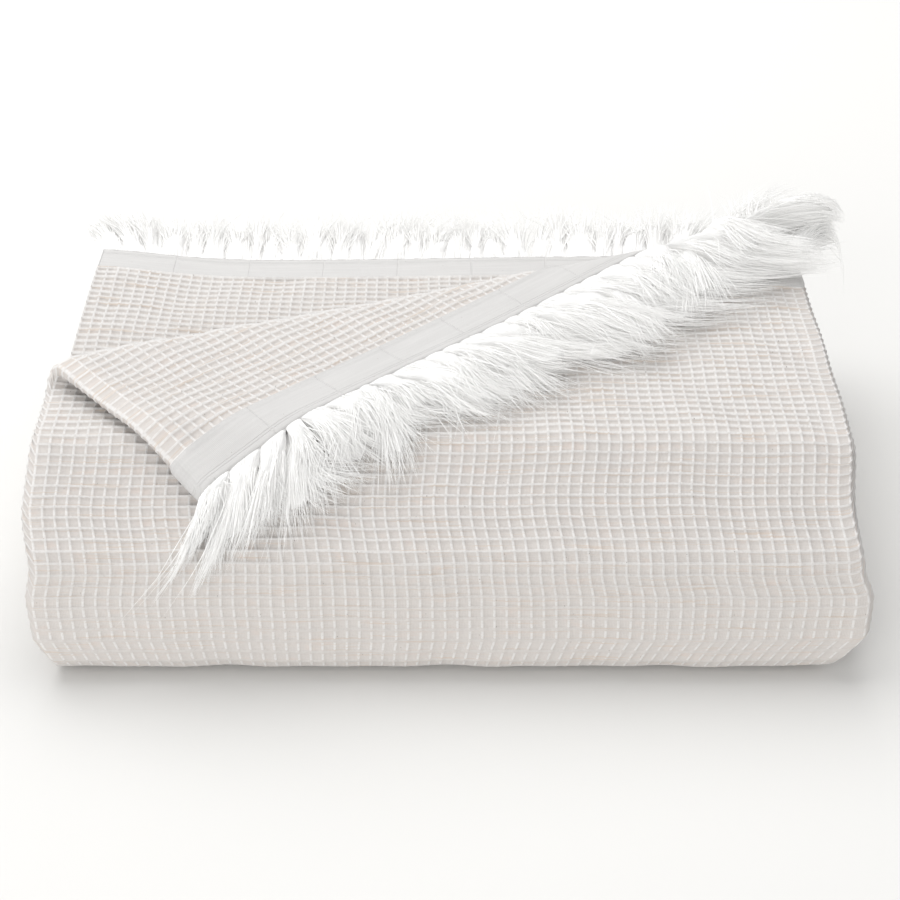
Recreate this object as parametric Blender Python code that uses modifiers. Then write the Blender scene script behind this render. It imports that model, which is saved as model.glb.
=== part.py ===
"""Folded waffle weave cotton throw with a brushed fringe at each end.

One length of cloth is folded in three across its width, as a letter is, and then back and
forth in six passes, so that its last passes wrap the front of the stack. The back left
corner of the two plies on top is turned forward. Metres, +Z up, +Y to the back, +X to the
right, with the origin at the middle of the face that the stack rests on.
"""

import math
from collections import namedtuple

import bmesh
import bpy
from mathutils import Vector

# Cloth: a lofty waffle weave, with a little air between one ply and the next.
CLOTH_THICKNESS = 0.0044
PLY_PITCH = 0.0059
PASS_PITCH = 3 * PLY_PITCH
HALF_WIDTH = 0.2145
DEPTH = 0.2926

# The letter fold. The side noses join the plies, and two free edges lie inside the fold.
EDGE_X = HALF_WIDTH - CLOTH_THICKNESS / 2
LEFT_NOSE_RADIUS = PLY_PITCH / 2
RIGHT_NOSE_RADIUS = PLY_PITCH
LEFT_TANGENT_X = LEFT_NOSE_RADIUS - EDGE_X
RIGHT_TANGENT_X = EDGE_X - RIGHT_NOSE_RADIUS
INNER_EDGE_X = -0.2085
MIDDLE_EDGE_X = 0.2044
NOSE_STEPS = 4

# The path of the middle ply: the corners that its folds round off, from the upper end on.
LOWEST = CLOTH_THICKNESS / 2 + PLY_PITCH
HEIGHTS = tuple(LOWEST + level * PASS_PITCH for level in range(6))
TURN_RADIUS = PASS_PITCH / 2
FIRST_BACK = 0.291 - LOWEST
SECOND_BACK = 0.285 - LOWEST
LOWER_FRONT = 0.0297
UPPER_FRONT = 0.0722
LOWER_END = 0.286

Corner = namedtuple("Corner", "place y z radius steps")
CORNERS = (
    Corner("upper end", DEPTH, HEIGHTS[5], 0, 0),
    Corner("crest of the slope", 0.0734, HEIGHTS[5], 0.020, 3),
    Corner("shoulder", 0.0179, 0.0658, 0.0125, 3),
    Corner("heel", 0.0056, HEIGHTS[0], 0.0085, 3),
    Corner("first back fold", FIRST_BACK, HEIGHTS[0], TURN_RADIUS, 2),
    Corner("first back fold", FIRST_BACK, HEIGHTS[1], TURN_RADIUS, 2),
    Corner("lower front fold", LOWER_FRONT, HEIGHTS[1], TURN_RADIUS, 2),
    Corner("lower front fold", LOWER_FRONT, HEIGHTS[2], TURN_RADIUS, 2),
    Corner("second back fold", SECOND_BACK, HEIGHTS[2], TURN_RADIUS, 2),
    Corner("second back fold", SECOND_BACK, HEIGHTS[3], TURN_RADIUS, 2),
    Corner("upper front fold", UPPER_FRONT, HEIGHTS[3], TURN_RADIUS, 2),
    Corner("upper front fold", UPPER_FRONT, HEIGHTS[4], TURN_RADIUS, 2),
    Corner("lower end", LOWER_END, HEIGHTS[4], 0, 0),
)

# How far each pass stands out at the two sides, past the outer wrap's half width.
Side = namedtuple("Side", "height left right")
SIDES = (
    Side(HEIGHTS[0], -0.012, -0.012),
    Side(HEIGHTS[1], -0.0035, 0.0035),
    Side(HEIGHTS[2], -0.002, 0.0045),
    Side(HEIGHTS[3], -0.005, -0.001),
    Side(HEIGHTS[4], 0.0005, -0.004),
    Side(HEIGHTS[5], 0.0, 0.0),
)

# The tufts of a fringe stand in equal cells, and the cloth bends a little between some.
CELLS = 10
CELL_WIDTH = (RIGHT_TANGENT_X - LEFT_TANGENT_X) / CELLS
BENT_CELLS = (1, 3, 5, 8)
BENDS_X = tuple(LEFT_TANGENT_X + cell * CELL_WIDTH for cell in BENT_CELLS)
KNOTS_X = (-HALF_WIDTH, *BENDS_X, HALF_WIDTH)

# How much thicker the back left corner lies, and how uneven the top is.
KNOTS_Y = (0.0, 0.13, 0.19, 0.25, DEPTH)
FLOOR_PLY_Z = CLOTH_THICKNESS / 2
HUMP = 0.075
HUMP_WIDTH = 0.055
HUMP_START = 0.10
HUMP_RUN = 0.16
WAVE = 0.009
SLANTED_WAVE = 0.0054
WAVES_ACROSS = 14
WAVES_BACK = 22

# The corner turned forward: its crease starts on the left nose and climbs to the back.
CREASE_START = Vector((-HALF_WIDTH, 0.1150))
CREASE_ANGLE = math.radians(21.4)
CREASE_OUT = Vector((-math.sin(CREASE_ANGLE), math.cos(CREASE_ANGLE)))
ROLL_RADIUS = 0.0076
ROLL_STEPS = 4
PAD_OFFSET = PLY_PITCH / 2
FLAP_GAP = 0.0022
FLAP_OFFSET = PAD_OFFSET + PLY_PITCH + CLOTH_THICKNESS + FLAP_GAP
FLAP_SETTLE_RUN = 0.05
SLOPE_LENGTH = 0.075

# Fringe: a comb of brushed tufts on a narrow row of roots, wider apart at the side noses.
FRINGE_THICKNESS = 0.003
LOWER_GAP = 0.0003
UPPER_GAP = 0.0015
NOSE_GAP = 0.006
FRINGE_LENGTH = 0.045
ROOT_ROW = 0.004
END_ROW = 0.03
TUFT_SHARE = 0.62
FRINGE_RISE = 0.010
ROLL_RISE = 0.6
FLAP_LIFT = 0.16
LOWER_BEND_RADIUS = 0.034
Row = namedtuple("Row", "reach width")
TUFT_ROWS = (Row(0.25, 1.1), Row(0.5, 1.1), Row(0.75, 1.0), Row(1.0, 0.55))

# How far the tufts lean to +X of the flat cloth, for each metre that they reach out.
Fan = namedtuple("Fan", "x back turned lower")
FANS = (
    Fan(-0.19, -0.55, -0.60, 0.10),
    Fan(-0.11, 0.05, -0.10, -0.20),
    Fan(0.00, -0.08, 0.20, 0.15),
    Fan(0.10, 0.10, 0.45, -0.10),
    Fan(0.19, 0.90, 1.15, 0.20),
)

CLOTH_COLOUR = (0.83, 0.80, 0.77, 1.0)
FRINGE_COLOUR = (0.93, 0.93, 0.93, 1.0)
CLOTH_ROUGHNESS = 0.9

Panel = namedtuple("Panel", "name start_x way length level")
INNER_PANEL = Panel("inner", INNER_EDGE_X, 1, RIGHT_TANGENT_X - INNER_EDGE_X, -1)
OUTER_PANEL = Panel("outer", RIGHT_TANGENT_X, -1, RIGHT_TANGENT_X - LEFT_TANGENT_X, 1)
MIDDLE_PANEL = Panel("middle", LEFT_TANGENT_X, 1, MIDDLE_EDGE_X - LEFT_TANGENT_X, 0)
OUTER_START = INNER_PANEL.length + math.pi * RIGHT_NOSE_RADIUS
LEFT_NOSE_START = OUTER_START + OUTER_PANEL.length
MIDDLE_START = LEFT_NOSE_START + math.pi * LEFT_NOSE_RADIUS
FLAT_WIDTH = MIDDLE_START + MIDDLE_PANEL.length
PANELS = ((INNER_PANEL, 0.0), (OUTER_PANEL, OUTER_START), (MIDDLE_PANEL, MIDDLE_START))
NEAR = 1e-6


def moves_round(corners):
    """The straight runs and arcs along the corners: each run, then its arc's radius and turn."""
    Move = namedtuple("Move", "run radius turn steps")
    points = [Vector((corner.y, corner.z)) for corner in corners]
    legs = [end - start for start, end in zip(points, points[1:])]
    moves, taken = [], 0.0
    for leg, after, corner in zip(legs, legs[1:], corners[1:]):
        turn = -leg.angle_signed(after)
        tangent = corner.radius * math.tan(abs(turn) / 2)
        moves.append(Move(leg.length - taken - tangent, corner.radius, turn, corner.steps))
        taken = tangent
    return [*moves, Move(legs[-1].length - taken, 0.0, 0.0, 0)]


MOVES = moves_round(CORNERS)
FLAT_LENGTH = sum(move.run + move.radius * abs(move.turn) for move in MOVES)


def smooth(value):
    """0 below 0, 1 above 1, with a soft start and end between."""
    value = min(max(value, 0.0), 1.0)
    return value * value * (3 - 2 * value)


def mixed(a, b, share):
    """The value that lies share of the way from a to b."""
    return a + (b - a) * share


def interval(value, knots):
    """The places in knots of the two round value, and how far it lies between them."""
    value = min(max(value, knots[0]), knots[-1])
    after = next(place for place in range(1, len(knots)) if value <= knots[place])
    start, end = knots[after - 1], knots[after]
    return after - 1, after, (value - start) / (end - start)


def panel_at(u):
    """The panel that holds u, measured across the flat cloth, and where it starts."""
    for panel, start in PANELS:
        if start - NEAR <= u <= start + panel.length + NEAR:
            return panel, start
    return None, 0.0


def across(u):
    """(x, offset from the middle ply) of the letter fold at u."""
    panel, start = panel_at(u)
    if panel:
        return panel.start_x + panel.way * (u - start), panel.level * PLY_PITCH
    if u < OUTER_START:
        angle = (u - INNER_PANEL.length) / RIGHT_NOSE_RADIUS
        return (
            RIGHT_TANGENT_X + RIGHT_NOSE_RADIUS * math.sin(angle),
            -RIGHT_NOSE_RADIUS * math.cos(angle),
        )
    angle = (u - LEFT_NOSE_START) / LEFT_NOSE_RADIUS
    return (
        LEFT_TANGENT_X - LEFT_NOSE_RADIUS * math.sin(angle),
        LEFT_NOSE_RADIUS * (1 + math.cos(angle)),
    )


def along(s):
    """(y, z, heading) of the middle ply at s, measured from the upper end."""
    y, z, heading = CORNERS[0].y, CORNERS[0].z, math.pi
    for move in MOVES:
        if s <= move.run or not move.turn:
            return y + s * math.cos(heading), z + s * math.sin(heading), heading
        y += move.run * math.cos(heading)
        z += move.run * math.sin(heading)
        s -= move.run
        way = math.copysign(1, move.turn)
        centre_y = y - way * move.radius * math.sin(heading)
        centre_z = z + way * move.radius * math.cos(heading)
        turned = min(s / move.radius, abs(move.turn))
        heading += way * turned
        y = centre_y + way * move.radius * math.sin(heading)
        z = centre_z - way * move.radius * math.cos(heading)
        if turned < abs(move.turn):
            return y, z, heading
        s -= move.radius * turned
    return y, z, heading


def end_stagger(u):
    """How far a ply's upper end stops short: each ply further out has longer way round."""
    _, offset = across(u)
    return math.pi * (PLY_PITCH + offset)


def side_shift(x, z):
    """How far the pass at a height stands out sideways at x."""
    before, after, share = interval(z, HEIGHTS)
    left = mixed(SIDES[before].left, SIDES[after].left, smooth(share))
    right = mixed(SIDES[before].right, SIDES[after].right, smooth(share))
    rightness = (x + HALF_WIDTH) / (2 * HALF_WIDTH)
    return right * rightness - left * (1 - rightness)


def past_crease(x, s):
    """How far a place of the top pass lies past the turned corner's crease."""
    return (Vector((x, DEPTH - s)) - CREASE_START).dot(CREASE_OUT)


def roll_length(offset):
    """What half a turn of the corner's roll takes up of a ply."""
    return math.pi * (ROLL_RADIUS + PAD_OFFSET - offset)


def turned_over(x, s, offset, root_past):
    """Rolls what is past the crease up and forward. A tuft runs straight on from its root."""
    if root_past <= 0:
        return x, s, offset
    past = past_crease(x, s)
    radius = ROLL_RADIUS + PAD_OFFSET - offset
    if root_past < roll_length(offset):
        angle = root_past / radius
        beyond = past - root_past
        out = radius * math.sin(angle) + beyond * math.cos(angle)
        offset = PAD_OFFSET + ROLL_RADIUS - radius * math.cos(angle)
        offset += ROLL_RISE * beyond * math.sin(angle)
    else:
        out = roll_length(offset) - past
        loose = PAD_OFFSET + 2 * ROLL_RADIUS - FLAP_OFFSET
        offset = 2 * (PAD_OFFSET + ROLL_RADIUS) - offset - loose * smooth(-out / FLAP_SETTLE_RUN)
        offset += FLAP_LIFT * (past - root_past)
    moved = (out - past) * CREASE_OUT
    return x + moved.x, s - moved.y, offset


def bent_down(y, z):
    """Lets the lower end's fringe hang down the back of the stack."""
    centre_z = HEIGHTS[4] - LOWEST - LOWER_BEND_RADIUS
    angle = (y - LOWER_END) / LOWER_BEND_RADIUS
    radius = z - centre_z
    return LOWER_END + radius * math.sin(angle), centre_z + radius * math.cos(angle)


def loft(x, y):
    """How much thicker than flat the stack lies at a place in plan."""
    from_left = (x + HALF_WIDTH) / HUMP_WIDTH
    hump = HUMP * math.exp(-from_left * from_left) * smooth((y - HUMP_START) / HUMP_RUN)
    wave = WAVE * math.sin(WAVES_ACROSS * x)
    wave += SLANTED_WAVE * math.sin(WAVES_BACK * y + WAVES_ACROSS * x)
    return hump + wave * smooth(y / HUMP_START)


def settled(x, y, z):
    """The point after the stack has settled, straight between the bends of the cloth."""
    left, right, share_x = interval(x, KNOTS_X)
    near, far, share_y = interval(y, KNOTS_Y)
    lofts = [
        mixed(loft(KNOTS_X[left], KNOTS_Y[row]), loft(KNOTS_X[right], KNOTS_Y[row]), share_x)
        for row in (near, far)
    ]
    return Vector((x, y - DEPTH / 2, z + (z - FLOOR_PLY_Z) * mixed(*lofts, share_y)))


def folded(u, s, root=None):
    """The place in the stack of a point of the flat cloth, or of a tuft drawn from root."""
    root_u, root_s = root or (u, s)
    root_x, offset = across(root_u)
    panel, _ = panel_at(root_u)
    x = root_x + (u - root_u) * (panel.way if panel else 1)
    if s < MOVES[0].run and offset > -NEAR and root_u > OUTER_START - NEAR:
        x, s, offset = turned_over(x, s, offset, past_crease(root_x, root_s))
    y, z, heading = along(s)
    x += side_shift(x, z)
    y += offset * math.sin(heading)
    z -= offset * math.cos(heading)
    if s < 0 and offset < 0:
        z += FRINGE_RISE * (s / FRINGE_LENGTH) ** 2
    elif s > FLAT_LENGTH:
        y, z = bent_down(y, z)
    return settled(x, y, z)


def cut(mesh, point, normal, inside=lambda centre: True):
    """Creases the flat cloth along a line, on the faces whose centres are inside."""
    faces = [face for face in mesh.faces if inside(face.calc_center_median())]
    edges = {edge for face in faces for edge in face.edges}
    verts = {vert for face in faces for vert in face.verts}
    bmesh.ops.bisect_plane(
        mesh,
        geom=[*verts, *edges, *faces],
        dist=NEAR,
        plane_co=Vector((*point, 0.0)),
        plane_no=Vector((*normal, 0.0)),
    )


def between(start, end, steps):
    """The places that part a stretch into equal steps, its ends included."""
    return [mixed(start, end, step / steps) for step in range(steps + 1)]


def flat_sheet(width, length):
    """One flat face from the origin, width along X and length along Y."""
    mesh = bmesh.new()
    bmesh.ops.create_grid(mesh, x_segments=1, y_segments=1, size=0.5)
    bmesh.ops.translate(mesh, verts=mesh.verts, vec=(0.5, 0.5, 0))
    bmesh.ops.scale(mesh, verts=mesh.verts, vec=(width, length, 1))
    return mesh


def lines_across():
    """The lines across the flat cloth where its noses bend and its panels give a little."""
    lines = between(INNER_PANEL.length, OUTER_START, NOSE_STEPS)
    lines += between(LEFT_NOSE_START, MIDDLE_START, NOSE_STEPS)
    for panel, start in PANELS:
        lines += [start + panel.way * (x - panel.start_x) for x in BENDS_X]
    return sorted(lines)


def lines_along():
    """The lines along the flat cloth where its passes bend or settle."""
    lines, start = [], 0.0
    for move in MOVES:
        y, _, heading = along(start)
        if abs(math.sin(heading)) < NEAR:
            places = [math.cos(heading) * (depth - y) for depth in KNOTS_Y]
            lines += [start + place for place in places if PLY_PITCH < place < move.run - PLY_PITCH]
        start += move.run
        arc = move.radius * abs(move.turn)
        if arc:
            lines += between(start, start + arc, move.steps)
        start += arc
    lines = sorted(round(line, 7) for line in lines)
    return [line for line, after in zip(lines, [*lines[1:], FLAT_LENGTH]) if after - line > NEAR]


def slanted_cut(mesh, normal, reaches):
    """Cuts the outer and middle plies past the crease where normal . place is their reach."""
    nose_s = []
    for (panel, start), reach in zip(PANELS[1:], reaches):
        nose_y = (reach - normal.x * LEFT_TANGENT_X) / normal.y
        nose_s.append(DEPTH - nose_y)
        nose_u = start + panel.way * (LEFT_TANGENT_X - panel.start_x)

        def on_corner(centre, panel=panel, start=start):
            x = panel.start_x + panel.way * (centre.x - start)
            on_panel = start < centre.x < start + panel.length and centre.y < MOVES[0].run
            return on_panel and past_crease(x, centre.y) > -ROLL_RADIUS

        cut(mesh, (nose_u, nose_s[-1]), (panel.way * normal.x, -normal.y), on_corner)
    if past_crease(LEFT_TANGENT_X, nose_s[0]) > -NEAR:
        run = MIDDLE_START - LEFT_NOSE_START
        cut(
            mesh,
            (LEFT_NOSE_START, nose_s[0]),
            (nose_s[0] - nose_s[1], run),
            lambda centre: LEFT_NOSE_START < centre.x < MIDDLE_START and centre.y < max(nose_s) + run,
        )


def crease_corner(mesh):
    """Cuts the turned corner's lines: round its roll, then where it bends over the slope."""
    roll_lengths = [roll_length(panel.level * PLY_PITCH) for panel, _ in PANELS[1:]]
    crease_reach = CREASE_START.dot(CREASE_OUT)
    for share in between(0.0, 1.0, ROLL_STEPS):
        slanted_cut(mesh, CREASE_OUT, [crease_reach + share * length for length in roll_lengths])
    mirrored = Vector((0, 1)) - 2 * CREASE_OUT.y * CREASE_OUT
    bends = [line for line in lines_along() if line < MOVES[0].run + SLOPE_LENGTH]
    for depth in [DEPTH - line for line in bends]:
        reaches = [depth - (2 * crease_reach + length) * CREASE_OUT.y for length in roll_lengths]
        slanted_cut(mesh, mirrored, reaches)


def blanket_mesh():
    """The whole cloth, creased while flat and then folded."""
    mesh = flat_sheet(FLAT_WIDTH, FLAT_LENGTH)
    for line in lines_across():
        cut(mesh, (line, 0), (1, 0))
    for line in lines_along():
        cut(mesh, (0, line), (0, 1))
    for line in tuft_lines():
        cut(mesh, (line, 0), (1, 0), lambda centre: centre.x > OUTER_START and centre.y < END_ROW)
    for vert in mesh.verts:
        if vert.co.y < NEAR:
            vert.co.y = end_stagger(vert.co.x)
    crease_corner(mesh)
    bmesh.ops.triangulate(mesh, faces=mesh.faces)
    for vert in mesh.verts:
        vert.co = folded(vert.co.x, vert.co.y)
    return mesh


def tufts():
    """(panel, x, place across the flat cloth) of the middle of each tuft's root."""
    found = []
    for panel, start in PANELS:
        for cell in range(CELLS):
            x = LEFT_TANGENT_X + (cell + 0.5) * CELL_WIDTH
            found.append((panel, x, start + panel.way * (x - panel.start_x)))
    return found


def tuft_lines():
    """The lines across the flat cloth at the two sides of each tuft."""
    half = CELL_WIDTH * TUFT_SHARE / 2
    return [middle + side for _, _, middle in tufts() for side in (-half, half)]


def caught_in_roll(panel, x):
    """Whether an upper tuft's root is on the outer ply and inside the corner's roll."""
    root_s = math.pi * (1 + panel.level) * PLY_PITCH
    return panel is OUTER_PANEL and past_crease(x, root_s) < roll_length(PLY_PITCH)


def tuft_lean(panel, x, end):
    """How far a tuft leans to +X for each metre that it reaches out of the cloth."""
    before, after, share = interval(x, [fan.x for fan in FANS])
    column = "lower" if end == "lower" else "back" if panel is INNER_PANEL else "turned"
    return mixed(getattr(FANS[before], column), getattr(FANS[after], column), share)


def end_place(u, end, out):
    """How far along the flat cloth a point of the fringe lies, out past the end's gap."""
    if end == "lower":
        return FLAT_LENGTH + LOWER_GAP + out
    gap = UPPER_GAP if panel_at(u)[0] else NOSE_GAP
    return end_stagger(u) - gap - out


def fringe_mesh(end):
    """One comb: a row of roots along the whole folded end, with its tufts drawn out."""
    mesh = flat_sheet(FLAT_WIDTH, ROOT_ROW)
    for line in sorted(lines_across() + tuft_lines()):
        cut(mesh, (line, 0), (1, 0))
    for vert in mesh.verts:
        vert.co.y = end_place(vert.co.x, end, vert.co.y)
    if end == "upper":
        crease_corner(mesh)
    root_u = mesh.verts.layers.float.new("root u")
    root_s = mesh.verts.layers.float.new("root s")
    for vert in mesh.verts:
        vert[root_u], vert[root_s] = vert.co.xy
    for panel, x, middle in tufts():
        if end == "lower" or not caught_in_roll(panel, x):
            lean = tuft_lean(panel, x, end) * panel.way
            draw_tuft(mesh, middle, lean, end, (root_u, root_s))
    for vert in mesh.verts:
        vert.co = folded(vert.co.x, vert.co.y, (vert[root_u], vert[root_s]))
    return mesh


def draw_tuft(mesh, middle, lean, end, layers):
    """Extrudes one tuft from its stretch of the root row, leaning as it goes."""
    half = CELL_WIDTH * TUFT_SHARE / 2
    root = end_place(middle, end, ROOT_ROW)
    edges = [
        edge
        for edge in mesh.edges
        if all(abs(v.co.x - middle) < half + NEAR and abs(v.co.y - root) < NEAR for v in edge.verts)
    ]
    centre, width = middle, 1.0
    for row in TUFT_ROWS:
        drawn = bmesh.ops.extrude_edge_only(mesh, edges=edges)["geom"]
        edges = [part for part in drawn if isinstance(part, bmesh.types.BMEdge)]
        reach = mixed(ROOT_ROW, FRINGE_LENGTH, row.reach)
        next_centre = middle + lean * (reach - ROOT_ROW)
        for vert in {vert for edge in edges for vert in edge.verts}:
            vert.co.x = next_centre + (vert.co.x - centre) * row.width / width
            vert.co.y = end_place(middle, end, reach)
            vert[layers[0]], vert[layers[1]] = middle, root
        centre, width = next_centre, row.width


def material(name, colour):
    """A plain matt cotton finish."""
    finish = bpy.data.materials.new(name)
    finish.use_nodes = True
    shader = finish.node_tree.nodes["Principled BSDF"]
    shader.inputs["Base Color"].default_value = colour
    shader.inputs["Roughness"].default_value = CLOTH_ROUGHNESS
    shader.inputs["Metallic"].default_value = 0.0
    return finish


def add_piece(collection, name, mesh, thickness, finish):
    """Puts a folded sheet in the scene, with its thickness, half to each side."""
    bmesh.ops.recalc_face_normals(mesh, faces=mesh.faces)
    data = bpy.data.meshes.new(name)
    mesh.to_mesh(data)
    mesh.free()
    data.materials.append(finish)
    piece = bpy.data.objects.new(name, data)
    collection.objects.link(piece)
    wall = piece.modifiers.new("cloth thickness", "SOLIDIFY")
    wall.thickness = thickness
    wall.offset = 0
    return piece


def main():
    for old in list(bpy.data.objects):
        bpy.data.objects.remove(old, do_unlink=True)
    collection = bpy.data.collections.new("folded waffle blanket")
    bpy.context.scene.collection.children.link(collection)
    cotton = material("waffle cotton", CLOTH_COLOUR)
    fringe = material("brushed fringe", FRINGE_COLOUR)
    add_piece(collection, "blanket_cloth", blanket_mesh(), CLOTH_THICKNESS, cotton)
    add_piece(collection, "fringe_upper_end", fringe_mesh("upper"), FRINGE_THICKNESS, fringe)
    add_piece(collection, "fringe_lower_end", fringe_mesh("lower"), FRINGE_THICKNESS, fringe)


main()
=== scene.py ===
"""Looks of a folded waffle weave cotton throw with a brushed fringe at each end.

One length of cloth is folded in three across its width, and then back and forth in six passes
whose last ones wrap the front. The back left corner of the two plies on top is turned forward.
The cloth is one closed sheet, worked as a flat slab in its own width (u) and length (v) and then
folded. The fringe is drawn out strand by strand past its two ends and folded with it. Metres, +Z
up, +Y to the back, +X to the right, in the same frame as the solids.
"""

from __future__ import annotations

import logging
import math
from dataclasses import dataclass
from enum import Enum
from functools import cached_property
from typing import NamedTuple

import bmesh
import bpy
import numpy as np
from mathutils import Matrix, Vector

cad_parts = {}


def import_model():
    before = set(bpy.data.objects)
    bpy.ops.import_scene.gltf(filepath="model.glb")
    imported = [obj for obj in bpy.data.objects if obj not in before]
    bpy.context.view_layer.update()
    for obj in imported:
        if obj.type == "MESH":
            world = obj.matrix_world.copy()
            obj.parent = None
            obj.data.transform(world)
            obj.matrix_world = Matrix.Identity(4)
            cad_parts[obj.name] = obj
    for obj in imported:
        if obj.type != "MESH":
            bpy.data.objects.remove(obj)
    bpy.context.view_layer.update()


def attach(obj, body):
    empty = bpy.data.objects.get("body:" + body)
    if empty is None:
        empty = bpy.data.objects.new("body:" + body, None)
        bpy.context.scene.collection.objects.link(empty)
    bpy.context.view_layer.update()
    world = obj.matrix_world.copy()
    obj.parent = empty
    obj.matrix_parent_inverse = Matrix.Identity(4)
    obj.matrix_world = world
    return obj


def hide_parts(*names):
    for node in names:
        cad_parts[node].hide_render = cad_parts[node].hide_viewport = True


LOG = logging.getLogger("waffle_throw")
BODY = "root"
FLAT_UV = "flat cloth"
FUZZ_GROUP = "cotton fuzz"
MODELLED = "modelled"
FIBRE = "fibre"
THIRDS = 3
CLOSE = 1e-5
NEAR = 1e-6
TINY = 1e-12

Values = np.ndarray
Socket = bpy.types.NodeSocket
Pair = tuple[float, float]
Triple = tuple[float, float, float]
Colour = tuple[float, float, float, float]


class End(Enum):
    """The two cut ends of the cloth."""

    UPPER = "upper"
    LOWER = "lower"


class Lie(Enum):
    """Where a stretch of fringe lies, as the name of its leans in the fans."""

    BACK = "back"
    OVER = "over"
    UNDER = "under"
    LOWER = "lower"


class Slot(Enum):
    """The finishes of the pieces."""

    CLOTH = "waffle_cotton"
    FRINGE = "brushed_fringe"


class Corner(NamedTuple):
    """A corner of the middle ply's path that a fold rounds off."""

    y: float
    z: float
    radius: float


class Panel(NamedTuple):
    """One of the three widths that the cloth is folded into."""

    start_u: float
    start_x: float
    way: int
    length: float
    level: int
    face: int


class Nose(NamedTuple):
    """The rounded side fold that joins two panels."""

    start_u: float
    centre_x: float
    centre_rise: float
    radius: float
    side: int


class Fan(NamedTuple):
    """How the tufts near x lie.

    The leans are how far they reach to +X of the flat cloth for each metre out: at the back, on
    the turned corner's upper and lower ply, and at the lower end. The rest holds for the turned
    corner: the spread of its leans, and its tufts' length, lift and thickness against the usual.
    """

    x: float
    back: float
    over: float
    under: float
    lower: float
    spread: float
    reach: float
    rise: float
    fullness: float


class Wave(NamedTuple):
    """A slow wave over the flat cloth: its height, its pace across and along, and its phase."""

    height: float
    across: float
    along: float
    phase: float = 0.0

    def at(self, u: Values, v: Values) -> Values:
        """Its value at places of the flat cloth."""
        return self.height * np.sin(self.across * u + self.along * v + self.phase)


def soft_step(value: Values, start: float = 0.0, run: float = 1.0) -> Values:
    """0 below the start, 1 past the run after it, with a soft start and end between."""
    value = np.clip((value - start) / run, 0.0, 1.0)
    return value * value * (3 - 2 * value)


def read(items: bpy.types.bpy_prop_collection, key: str, width: int, kind: type) -> Values:
    """Reads a property of all of a mesh's parts.

    Args:
        items: The parts.
        key: The property.
        width: How many numbers each part has of it.
        kind: The type of the numbers.

    Returns:
        The numbers, a row for each part.
    """
    values = np.empty(len(items) * width, kind)
    items.foreach_get(key, values)
    return values.reshape(-1, width)


def into_scene(name: str, data: bpy.types.ID) -> bpy.types.Object:
    """Puts a mesh, a light or a lens into the scene.

    Args:
        name: The name of its object.
        data: The mesh, the light or the lens.

    Returns:
        The object, at the origin.
    """
    piece = bpy.data.objects.new(name, data)
    bpy.context.scene.collection.objects.link(piece)
    return piece


def outwards(data: bpy.types.Mesh) -> None:
    """Turns a closed mesh the right way out, by the sign of the volume that it holds.

    Args:
        data: The mesh.
    """
    points = read(data.vertices, "co", 3, np.float32).astype(float)
    data.calc_loop_triangles()
    a, b, c = points[read(data.loop_triangles, "vertices", 3, np.int32)].transpose(1, 0, 2)
    if np.einsum("ij,ij->i", a, np.cross(b, c)).sum() < 0:
        data.flip_normals()


def joined_mesh(name: str, points: Values, triangles: Values) -> bpy.types.Mesh:
    """One mesh of many copies of a shape.

    Args:
        name: The mesh's name.
        points: All copies' points, one row each.
        triangles: All copies' triangles, as rows of places in points.

    Returns:
        The mesh.
    """
    data = bpy.data.meshes.new(name)
    data.vertices.add(len(points))
    data.vertices.foreach_set("co", points.astype(np.float32).ravel())
    data.loops.add(triangles.size)
    data.loops.foreach_set("vertex_index", triangles.astype(np.int32).ravel())
    data.polygons.add(len(triangles))
    data.polygons.foreach_set("loop_start", np.arange(0, triangles.size, 3, dtype=np.int32))
    data.update(calc_edges=True)
    return data


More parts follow.
